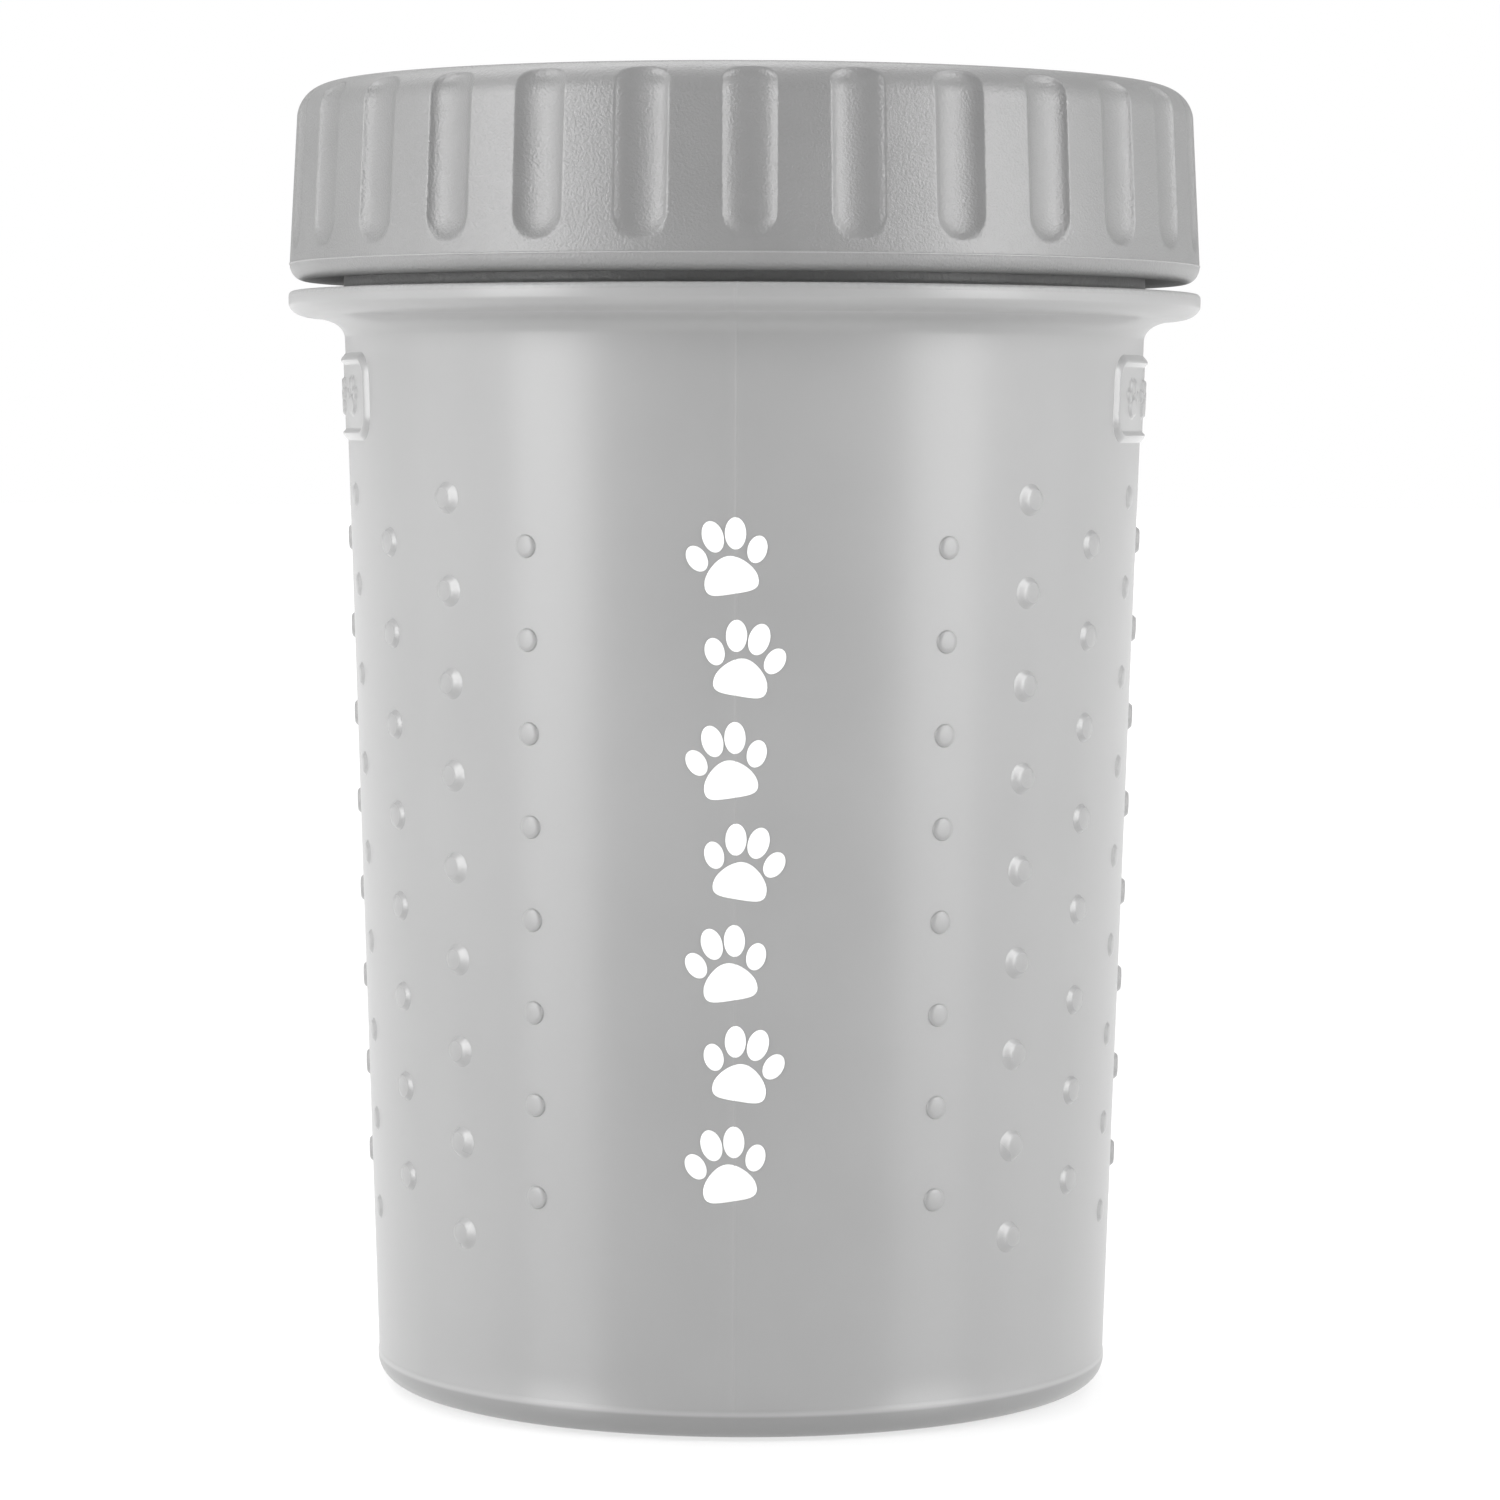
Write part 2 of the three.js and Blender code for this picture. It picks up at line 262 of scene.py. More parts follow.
def revolve(profile, azimuths, relief=None, relief_rows=slice(0, 0)):
    """Points and faces of a shell turned about Z.

    The profile runs anticlockwise in the (radius, z) plane. It closes on itself, unless it starts and
    ends on the axis. relief(azimuth, radius, z) gives the new radius on the rows that relief_rows picks.
    """
    on_axis = profile[0][0] < 1e-9
    radius = np.repeat(profile[:, :1], len(azimuths), 1)
    height = np.repeat(profile[:, 1:], len(azimuths), 1)
    azimuth = np.repeat(azimuths[None, :], len(profile), 0)
    if relief:
        rows = relief_rows
        radius[rows] = relief(azimuth[rows], radius[rows], height[rows])
    points = around(radius, azimuth, height)
    if not on_axis:
        return points.reshape(-1, 3), grid_faces(len(profile), len(azimuths), True, True)
    count = len(azimuths)
    inner = points[1:-1].reshape(-1, 3)
    last_row = (len(profile) - 3) * count
    low, high = len(inner), len(inner) + 1
    faces = grid_faces(len(profile) - 2, count, False, True)
    faces += [(low, (j + 1) % count, j) for j in range(count)]
    faces += [(high, last_row + j, last_row + (j + 1) % count) for j in range(count)]
    ends = [(0, 0, profile[0][1]), (0, 0, profile[-1][1])]
    return np.vstack([inner, ends]), faces


def swept(outline, azimuths):
    """A closed solid: an outline in the (radius, z) plane, carried round Z through the azimuths."""
    count = len(outline)
    radius = np.repeat(outline[:, 0][None, :], len(azimuths), 0)
    height = np.repeat(outline[:, 1][None, :], len(azimuths), 0)
    points = around(radius, azimuths[:, None] + 0 * radius, height).reshape(-1, 3)
    faces = [tuple(reversed(f)) for f in grid_faces(len(azimuths), count, False, True)]
    last = (len(azimuths) - 1) * count
    faces.append(tuple(range(count)))
    faces.append(tuple(reversed(range(last, last + count))))
    return points, faces


def joined(parts):
    """One list of points and faces from several."""
    points, faces, first = [], [], 0
    for part_points, part_faces in parts:
        points.append(np.asarray(part_points))
        faces += [tuple(first + i for i in face) for face in part_faces]
        first += len(part_points)
    return np.vstack(points), faces


def full_turn(steps):
    """Angles of a whole turn, in radians."""
    return np.linspace(0, 2 * math.pi, steps, endpoint=False)


def smooth_step(low, high, value):
    """From 0 at low to 1 at high, level at both."""
    t = np.clip((value - low) / (high - low), 0, 1)
    return t * t * (3 - 2 * t)


def smooth_min(a, b, width):
    """The smaller of two values, with the crease between them rounded."""
    blend = np.clip(0.5 + 0.5 * (b - a) / width, 0, 1)
    return b * (1 - blend) + a * blend - width * blend * (1 - blend)


def angle_between(azimuth, centre):
    """The signed shortest turn from centre to azimuth."""
    return (azimuth - centre + math.pi) % (2 * math.pi) - math.pi


# ---------------------------------------------------------------- cup

def bump_columns():
    """(index, azimuth, side of the nearer parting line) for every column round the cup."""
    columns = []
    for index, azimuth in enumerate(BUMP_COLUMNS):
        for value, side in ((azimuth, -1), (180 - azimuth, 1), (-azimuth, 1), (azimuth - 180, -1)):
            if azimuth < 90 or side == 1:
                columns.append((index, value * DEG, side))
    return columns


def cup_azimuths():
    """Even steps, with fine ones across the two mould parting lines."""
    fine = np.array([-0.3, -0.12, 0, 0.12, 0.3]) * DEG
    near = np.concatenate([seam + fine for seam in (0, math.pi)])
    coarse = full_turn(224)
    gap = np.abs(angle_between(coarse[:, None], near[None, :])).min(1)
    return np.sort(np.concatenate([near, coarse[gap > 0.5 * DEG]]) % (2 * math.pi))


def cup_relief(azimuth, radius, z):
    """The two fine mould parting lines on the cup's wall and flange."""
    height = np.zeros_like(radius)
    for seam in (0, math.pi):
        across = angle_between(azimuth, seam) * radius
        height += SEAM_HEIGHT * np.exp(-(across / SEAM_WIDTH) ** 2)
    return radius + height


def cup_profile():
    """The cup's outline and the rows of it that carry the relief."""
    half_recess = RECESS_DEPTH / 2
    band_low, band_high = FOOT_BAND_TOP - 0.1 * MM, FOOT_BAND_TOP + 0.1 * MM
    foot_round = (FOOT_BAND_R - FOOT_R + 0.1 * MM, FOOT_ROUND_TOP)
    foot = np.vstack([
        [(0, RECESS_DEPTH)],
        line((20 * MM, RECESS_DEPTH), (RECESS_R, RECESS_DEPTH), 2),
        arc((RECESS_R, half_recess), (RECESS_EDGE, half_recess), 90, 0, 4),
        arc((RECESS_R + RECESS_EDGE + half_recess, half_recess), (half_recess, half_recess), 180, 270, 4),
        arc((FOOT_R - 0.1 * MM, FOOT_ROUND_TOP), foot_round, -90, 0, 14),
        line((FOOT_BAND_R, FOOT_ROUND_TOP), (FOOT_BAND_R, band_low), 2),
        curve((FOOT_BAND_R, band_low), (FOOT_BAND_R, band_high), WALL_FOOT, 7),
    ])
    wall = line(WALL_FOOT, WALL_TOP, 40)
    nose, over = FLANGE_NOSE, FLANGE_OVER
    neck_start = (NECK_ROUND_R, FLANGE_TOP + 0.05 * MM)
    flange = np.vstack([
        curve(WALL_TOP, (47.7 * MM, 125.9 * MM), (FLANGE_R - nose, FLANGE_LOW), 12),
        arc((FLANGE_R - nose, FLANGE_Z), (nose, FLANGE_Z - FLANGE_LOW), -90, 0, 18),
        arc((FLANGE_R - over, FLANGE_TOP - over), (over, over), 0, 90, 10),
        line((FLANGE_R - over, FLANGE_TOP), neck_start, 5),
    ])
    rim_low = RIM_Z - RIM_EDGE
    floor_r = BORE_FOOT[0] - FLOOR_ROUND
    neck = np.vstack([
        curve(neck_start, (NECK_R, FLANGE_TOP + 0.07 * MM), (NECK_R, NECK_ROUND_Z), 4),
        line((NECK_R, NECK_ROUND_Z), (NECK_R, rim_low), 4),
        arc((NECK_R - RIM_EDGE, rim_low), (RIM_EDGE, RIM_EDGE), 0, 90, 5),
        arc((BORE_TOP_R + RIM_EDGE, rim_low), (RIM_EDGE, RIM_EDGE), 90, 180, 5),
        line((BORE_TOP_R, rim_low), BORE_FOOT, 12),
        arc((floor_r, BORE_FOOT[1]), (FLOOR_ROUND, BORE_FOOT[1] - FLOOR_TOP), 0, -90, 8),
        line((floor_r, FLOOR_TOP), (4 * MM, FLOOR_TOP), 4),
        [(0, FLOOR_TOP)],
    ])
    relief_rows = slice(len(foot), len(foot) + len(wall) + len(flange))
    return np.vstack([foot, wall, flange, neck]), relief_rows


def neck_block(outer_r, start, end, low):
    """A block that stands out from the neck, with eased edges on its outer face."""
    inner_r, high, ease = LUG_ROOT_R, LUG_TOP, LUG_EASE
    outline = np.vstack([
        line((inner_r, low), (outer_r - ease, low), 3),
        arc((outer_r - ease, low + ease), (ease, ease), -90, 0, 3),
        line((outer_r, low + ease), (outer_r, high - ease), 4),
        arc((outer_r - ease, high - ease), (ease, ease), 0, 90, 3),
        line((outer_r - ease, high), (inner_r, high), 3),
        [(inner_r, high)],
    ])
    return swept(outline, np.linspace(start, end, int((end - start) / LUG_ARC_STEP)))


def cup_lugs():
    """Four upright stops on the neck, each with an arm that the ring's lug slides under."""
    parts = []
    for index in range(LUG_COUNT):
        turn = index * 360 / LUG_COUNT * DEG
        parts.append(neck_block(STOP_R, turn + STOP_START, turn + STOP_END, STOP_LOW))
        parts.append(neck_block(ARM_R, turn + ARM_START, turn + ARM_END, ARM_LOW))
    return parts


def build_cup(material):
    """The cup's shell with its flange and mould lines, and the lugs on its neck."""
    profile, relief_rows = cup_profile()
    shell = revolve(profile, cup_azimuths(), cup_relief, relief_rows)
    return new_object("cup_shell", *joined([shell, *cup_lugs()]), material)


def wall_radius(z):
    """The radius of the cup's tapered wall."""
    slope = (WALL_TOP[0] - WALL_FOOT[0]) / (WALL_TOP[1] - WALL_FOOT[1])
    return WALL_FOOT[0] + slope * (z - WALL_FOOT[1])


def closed_pad(rings, top, under):
    """A closed solid from rings of points, outermost first, a hub on top and a hub below."""
    count = len(rings[0])
    points = np.vstack([*rings, [top], [under]])
    faces = grid_faces(len(rings), count, False, True)
    last, hub = (len(rings) - 1) * count, len(rings) * count
    faces += [(last + j, last + (j + 1) % count, hub) for j in range(count)]
    faces += [((j + 1) % count, j, hub + 1) for j in range(count)]
    return points, faces


def on_wall(azimuth, z, across, up, lift):
    """Points that stand lift above the wall, across and up from a place on it."""
    radius = wall_radius(z + up)
    return around(radius + lift, azimuth + across / radius, z + up)


def grip_bump(azimuth, z, side, radius, ramp, edge, height):
    """One button: a flat crown, a ramp towards the nearer parting line, and a steeper edge opposite."""
    turn = full_turn(BUMP_SIDES)
    narrowing, shift = (ramp + edge) / 2, (ramp - edge) / 2
    levels = [(0, radius, BUMP_ROOT)]
    for share in BUMP_STEPS:
        rise = 0.5 * (share + smooth_step(0, 1, share))
        levels.append((-shift * share, radius - narrowing * share, height * rise - BUMP_SINK))
    for share in (0.6, 0.3):
        levels.append((-shift, (radius - narrowing) * share, height + BUMP_CROWN * (1 - share)))
    rings = []
    for offset, reach, lift in levels:
        across = side * (offset + reach * np.cos(turn))
        rings.append(on_wall(azimuth, z, across, side * reach * np.sin(turn), lift))
    top = on_wall(azimuth, z, -side * shift, 0.0, height + BUMP_CROWN)
    under = on_wall(azimuth, z, 0.0, 0.0, BUMP_ROOT)
    return closed_pad(rings, top, under)


def build_bumps(crown_material, edge_material):
    """The columns of grip bumps on both flanks. Their sloping edges are smoother than their crowns."""
    parts, material_index = [], []
    side_faces = len(BUMP_STEPS) * BUMP_SIDES
    for index, azimuth, side in bump_columns():
        sizes = [values[index] * MM for values in (BUMP_RADII, BUMP_RAMPS, BUMP_EDGES, BUMP_HEIGHTS)]
        count = BUMPS_ON_LONG_COLUMN - (1 if index % 2 == 0 else 0)
        side_material = 1 if index in POLISHED_COLUMNS else 0
        for row in range(count):
            z = BUMP_MIDDLE_Z + (row - (count - 1) / 2) * BUMP_PITCH
            parts.append(grip_bump(azimuth, z, side, *sizes))
            material_index += [side_material] * side_faces + [0] * (len(parts[-1][1]) - side_faces)
    made = new_object("grip_bumps", *joined(parts), crown_material)
    made.data.materials.append(edge_material)
    made.data.polygons.foreach_set("material_index", material_index)
    return made


# ---------------------------------------------------------------- paw shapes

PAW_PADS = (
    # centre across, centre along, half width, half height, turn in degrees; a unit paw is 2 high
    (0.0, -0.42, 0.62, 0.50, 0),
    (-0.72, 0.13, 0.23, 0.33, 24),
    (-0.27, 0.58, 0.25, 0.38, 8),
    (0.27, 0.58, 0.25, 0.38, -8),
    (0.72, 0.13, 0.23, 0.33, -24),
)


def pad_outline(pad, count=40):
    """Outline of one pad of a paw print: an ellipse, drawn in at the top of the large pad."""
    x, y, half_width, half_height, turn = pad
    angle = full_turn(count)
    across = half_width * np.cos(angle)
    along = half_height * np.sin(angle)
    if turn == 0:
        across = across * (1 - 0.28 * np.sin(angle))
        along = along - 0.10 * np.cos(2 * angle) * (np.sin(angle) < 0) * np.abs(np.sin(angle))
    c, s = math.cos(turn * DEG), math.sin(turn * DEG)
    return np.stack([x + across * c - along * s, y + across * s + along * c], 1)


# ---------------------------------------------------------------- materials

def node_material(name):
    """A new material, its nodes, its links and its shader."""
    material = bpy.data.materials.new(name)
    material.use_nodes = True
    nodes, links = material.node_tree.nodes, material.node_tree.links
    return material, nodes, links, nodes["Principled BSDF"]


def noise(nodes, links, scale, detail, roughness=0.5):
    """A noise texture in object space, in features per metre."""
    coordinates = nodes.new("ShaderNodeTexCoord")
    texture = nodes.new("ShaderNodeTexNoise")
    texture.inputs["Scale"].default_value = scale
    texture.inputs["Detail"].default_value = detail
    texture.inputs["Roughness"].default_value = roughness
    links.new(coordinates.outputs["Object"], texture.inputs["Vector"])
    return texture.outputs["Fac"]


def remap(nodes, links, value, low, high, from_low=0.3, from_high=0.7):
    """The value moved from one range to another, and held at its ends."""
    node = nodes.new("ShaderNodeMapRange")
    node.inputs["From Min"].default_value = from_low
    node.inputs["From Max"].default_value = from_high
    node.inputs["To Min"].default_value = low
    node.inputs["To Max"].default_value = high
    links.new(value, node.inputs["Value"])
    return node.outputs["Result"]


def two_tone(nodes, links, value, dark, light):
    """A colour that varies between two linear ones."""
    node = nodes.new("ShaderNodeMix")
    node.data_type = "RGBA"
    links.new(value, node.inputs["Factor"])
    node.inputs["A"].default_value = (*dark, 1)
    node.inputs["B"].default_value = (*light, 1)
    return node.outputs["Result"]


def bump(nodes, links, height, strength, distance, normal=None):
    """The surface's grain: a normal from a height map, distance in metres."""
    node = nodes.new("ShaderNodeBump")
    node.inputs["Strength"].default_value = strength
    node.inputs["Distance"].default_value = distance
    links.new(height, node.inputs["Height"])
    if normal is not None:
        links.new(normal, node.inputs["Normal"])
    return node.outputs["Normal"]


def grey(value):
    """An opaque grey."""
    return (value, value, value, 1)


def set_stop(stop, position, value):
    """Places one stop of a colour ramp and makes it grey."""
    stop.position = position
    stop.color = grey(value)


def shaded_by_height(nodes, links, tone, shades):
    """The tone times a share that depends on the height, and the height itself.

    shades are (height in mm, share of the tone) pairs, lowest first.
    """
    low, high = shades[0][0], shades[-1][0]
    place = nodes.new("ShaderNodeTexCoord")
    split = nodes.new("ShaderNodeSeparateXYZ")
    links.new(place.outputs["Object"], split.inputs["Vector"])
    shade = nodes.new("ShaderNodeValToRGB")
    links.new(remap(nodes, links, split.outputs["Z"], 0, 1, low * MM, high * MM), shade.inputs["Fac"])
    stops = shade.color_ramp.elements
    set_stop(stops[0], 0, shades[0][1])
    set_stop(stops[1], 1, shades[-1][1])
    for height, share in shades[1:-1]:
        stops.new((height - low) / (high - low)).color = grey(share)
    shaded = nodes.new("ShaderNodeMix")
    shaded.data_type = "RGBA"
    shaded.blend_type = "MULTIPLY"
    shaded.inputs["Factor"].default_value = 1.0
    links.new(tone, shaded.inputs["A"])
    links.new(shade.outputs["Color"], shaded.inputs["B"])
    return shaded.outputs["Result"], split.outputs["Z"]


# height in mm and share of the full tone: foot darkened as painted shade, pale line lightened as a painted
# highlight, and wall
CUP_PAINTED_SHADE_AND_HIGHLIGHT = ((0, 0.365), (2.55, 0.365), (2.85, 0.57), (3.05, 0.57), (3.35, 0.5), (6, 0.5))
# then the ring's pale line: a painted highlight along its parting ridge
RING_PAINTED_HIGHLIGHT = ((132.2, 0.7), (132.49, 0.7), (132.55, 1.0), (132.66, 1.0), (132.72, 0.7), (133, 0.7))


def frosted_plastic(name, smooth, rough):
    """Milky grey polypropylene: satin grain, coarser above the flange, faint flow marks, a foot darkened
    by painted shade and a pale line above it lightened as a painted highlight.
    """
    material, nodes, links, shader = node_material(name)
    clouds = noise(nodes, links, 55, 3)
    tone = two_tone(nodes, links, remap(nodes, links, clouds, 0, 1), (0.484,) * 3, (0.514,) * 3)
    # painted shade darkens the foot, and a painted highlight lightens the pale line above it
    shaded, height = shaded_by_height(nodes, links, tone, CUP_PAINTED_SHADE_AND_HIGHLIGHT)
    links.new(shaded, shader.inputs["Base Color"])
    links.new(remap(nodes, links, clouds, smooth, rough), shader.inputs["Roughness"])
    satin = bump(nodes, links, noise(nodes, links, 2600, 2), 0.25, 0.03 * MM)
    above_rim = remap(nodes, links, height, 0, 1, FLANGE_TOP - 0.7 * MM, FLANGE_TOP - 0.3 * MM)
    coarse = nodes.new("ShaderNodeMath")
    coarse.operation = "MULTIPLY"
    links.new(noise(nodes, links, 1500, 2), coarse.inputs[0])
    links.new(above_rim, coarse.inputs[1])
    links.new(bump(nodes, links, coarse.outputs["Value"], 1.0, 0.22 * MM, satin), shader.inputs["Normal"])
    shader.inputs["Sheen Weight"].default_value = 0.15
    shader.inputs["Sheen Roughness"].default_value = 0.6
    shader.inputs["Coat Weight"].default_value = 0.6
    shader.inputs["Coat Roughness"].default_value = 0.28
    return material


def grained_plastic():
    """Grey plastic from a spark-eroded tool: a fine sparkling grain, a duller flat top, and a pale line
    painted on as a highlight along the parting ridge.
    """
    material, nodes, links, shader = node_material("grained_plastic")
    clouds = noise(nodes, links, 90, 3)
    tone = two_tone(nodes, links, remap(nodes, links, clouds, 0, 1), (0.258,) * 3, (0.278,) * 3)
    # a painted highlight lightens the pale line along the parting ridge
    shaded, height = shaded_by_height(nodes, links, tone, RING_PAINTED_HIGHLIGHT)
    links.new(shaded, shader.inputs["Base Color"])
    grain = noise(nodes, links, 3300, 3, 0.6)
    flat_top = (TOP_Z - 0.3 * MM, TOP_Z - 0.05 * MM)
    rough = nodes.new("ShaderNodeMath")
    rough.operation = "ADD"
    links.new(remap(nodes, links, grain, 0.29, 0.37), rough.inputs[0])
    links.new(remap(nodes, links, height, 0, 0.4, *flat_top), rough.inputs[1])
    links.new(rough.outputs["Value"], shader.inputs["Roughness"])
    shader.inputs["Specular IOR Level"].default_value = 0.78
    links.new(bump(nodes, links, grain, 1.0, 0.08 * MM), shader.inputs["Normal"])
    return material


def soft_silicone():
    """Pale matte silicone with a faint dusty sheen."""
    material, nodes, links, shader = node_material("soft_silicone")
    clouds = noise(nodes, links, 120, 2)
    dark, light = (0.306, 0.319, 0.326), (0.32, 0.334, 0.341)
    links.new(two_tone(nodes, links, remap(nodes, links, clouds, 0, 1), dark, light),
              shader.inputs["Base Color"])
    links.new(remap(nodes, links, clouds, 0.5, 0.62), shader.inputs["Roughness"])
    links.new(bump(nodes, links, noise(nodes, links, 3200, 2), 0.2, 0.03 * MM), shader.inputs["Normal"])
    shader.inputs["Sheen Weight"].default_value = 0.15
    return material


def seal_rubber():
    """Dark matte rubber."""
    material, nodes, links, shader = node_material("seal_rubber")
    clouds = noise(nodes, links, 200, 3)
    links.new(two_tone(nodes, links, remap(nodes, links, clouds, 0, 1), (0.10,) * 3, (0.14,) * 3),
              shader.inputs["Base Color"])
    links.new(remap(nodes, links, clouds, 0.6, 0.72), shader.inputs["Roughness"])
    links.new(bump(nodes, links, noise(nodes, links, 2800, 2), 0.3, 0.04 * MM), shader.inputs["Normal"])
    return material


def print_ink():
    """White pad-printed ink, slightly uneven in cover."""
    material, nodes, links, shader = node_material("print_ink")
    cover = noise(nodes, links, 900, 3)
    links.new(two_tone(nodes, links, remap(nodes, links, cover, 0, 1), (0.80,) * 3, (0.88,) * 3),
              shader.inputs["Base Color"])
    links.new(remap(nodes, links, cover, 0.38, 0.5), shader.inputs["Roughness"])
    links.new(bump(nodes, links, cover, 0.15, 0.02 * MM), shader.inputs["Normal"])
    return material


# ---------------------------------------------------------------- print and badges

def printed_patch(outline, inside):
    """A thin closed film of ink on the wall. outline and inside are (across, z) points."""
    film = INK_FILM
    rings = []
    for share, lift in ((1.0, INK_ROOT), (1.0, film * 0.4), (0.965, film), (0.6, film), (0.25, film)):
        flat = inside + (outline - inside) * share
        rings.append(on_wall(0.0, 0.0, flat[:, 0], flat[:, 1], lift))
    return closed_pad(rings, on_wall(0.0, 0.0, *inside, film), on_wall(0.0, 0.0, *inside, INK_ROOT))


def build_paw_trail(material):
    """A trail of seven paw prints that walks up the front of the cup."""
    parts = []
    for index in range(TRAIL_COUNT):
        side = 1 if index % 2 else -1
        height = TRAIL_LOW + (TRAIL_HIGH - TRAIL_LOW) * index / (TRAIL_COUNT - 1)
        centre = np.array([side * TRAIL_STEP, height])
        turn = -side * TRAIL_TURN
        rotation = np.array([[math.cos(turn), math.sin(turn)], [-math.sin(turn), math.cos(turn)]])
        for pad in PAW_PADS:
            outline = pad_outline(pad) * TRAIL_PAW_SIZE @ rotation + centre
            parts.append(printed_patch(outline, outline.mean(0)))
    return new_object("paw_print_trail", *joined(parts), material)


def rounded_box_distance(x, y, half_x, half_y, corner):
    """Signed distance to a rounded rectangle about the origin, negative inside."""
    dx, dy = np.abs(x) - half_x + corner, np.abs(y) - half_y + corner
    outside = np.hypot(np.clip(dx, 0, None), np.clip(dy, 0, None))
    return outside + np.minimum(np.maximum(dx, dy), 0) - corner


def paw_distance(x, y, size):
    """A rough signed distance to a unit paw print scaled to size, negative inside."""
    nearest = np.full(x.shape, 1.0)
    for px, py, half_width, half_height, turn in PAW_PADS:
        c, s = math.cos(turn * DEG), math.sin(turn * DEG)
        dx, dy = x / size - px, y / size - py
        across, along = dx * c + dy * s, -dx * s + dy * c
        reach = np.hypot(across / half_width, along / half_height) - 1
        nearest = np.minimum(nearest, reach * min(half_width, half_height) * size / MM)
    return nearest * MM


def badge_height(across, along, half_x, half_y):
    """A raised rounded frame with sloping sides and a row of small raised paw prints inside it."""
    edge = rounded_box_distance(across, along, half_x, half_y, BADGE_CORNER)
    ramp = np.clip((BADGE_SLOPE_START - edge) / BADGE_SLOPE_WIDTH, 0, 1)
    rise = 0.7 * ramp + 0.3 * smooth_step(0, 1, ramp)
    sunk = smooth_step(-BADGE_PANEL_START, -BADGE_PANEL_END, edge)
    height = BADGE_FOOT + rise * BADGE_RISE - sunk * BADGE_PANEL_DEPTH
    nearest = np.clip(np.round(across / BADGE_PAW_PITCH), -BADGE_PAWS_BESIDE, BADGE_PAWS_BESIDE)
    paw = paw_distance(across - nearest * BADGE_PAW_PITCH, along, BADGE_PAW_SIZE)
    return height + sunk * smooth_step(*BADGE_PAW_SLOPE, paw) * BADGE_PANEL_DEPTH


def build_badge(name, centre, material):
    """The raised badge on one flank, as a closed plate let into the wall."""
    middle = (BADGE_LOW + BADGE_HIGH) / 2
    half_y = (BADGE_HIGH - BADGE_LOW) / 2
    half_x = BADGE_HALF_ANGLE * wall_radius(middle)
    reach_x, reach_y = half_x + BADGE_MARGIN, half_y + BADGE_MARGIN
    rows, columns = BADGE_ROWS, BADGE_COLUMNS
    along, across = np.meshgrid(
        np.linspace(-reach_y, reach_y, rows),
        np.linspace(-reach_x, reach_x, columns),
        indexing="ij",
    )
    z = middle + along
    azimuth = centre + across / wall_radius(middle)
    front = around(wall_radius(z) + badge_height(across, along, half_x, half_y), azimuth, z)
    back = around(wall_radius(z) - BADGE_PLATE_DEPTH, azimuth, z)
    points = np.vstack([front.reshape(-1, 3), back.reshape(-1, 3)])
    first = rows * columns
    faces = grid_faces(rows, columns, False, False)
    faces += [tuple(reversed(f)) for f in grid_faces(rows, columns, False, False, first)]
    rim = [(0, j) for j in range(columns)]
    rim += [(i, columns - 1) for i in range(1, rows)]
    rim += [(rows - 1, j) for j in range(columns - 2, -1, -1)]
    rim += [(i, 0) for i in range(rows - 2, 0, -1)]
    numbers = [i * columns + j for i, j in rim]
    for a, b in zip(numbers, numbers[1:] + numbers[:1]):
        faces.append((b, a, first + a, first + b))
    return new_object(name, points, faces, material)


# ---------------------------------------------------------------- twist ring

def flute_relief(azimuth, radius, z):
    """Cuts the finger flutes: shallow scoops with soft lips and round ends that follow the outline."""
    half, half_pitch = FLUTE_WIDTH / 2, FLUTE_PITCH / 2
    across = ((azimuth - FLUTE_PHASE + half_pitch) % FLUTE_PITCH - half_pitch) * radius
    below = np.maximum(0, FLUTE_LOW + half - z)
    above = np.maximum(0, z - FLUTE_HIGH + FLUTE_ARCH) * half / FLUTE_ARCH
    reach = (across ** 2 + below ** 2 + above ** 2) / half ** 2
    depth = FLUTE_SCOOP * (1 - reach) + FLUTE_STEP * (1 - reach ** 3)
    return radius + smooth_min(-depth, 0, FLUTE_LIP)


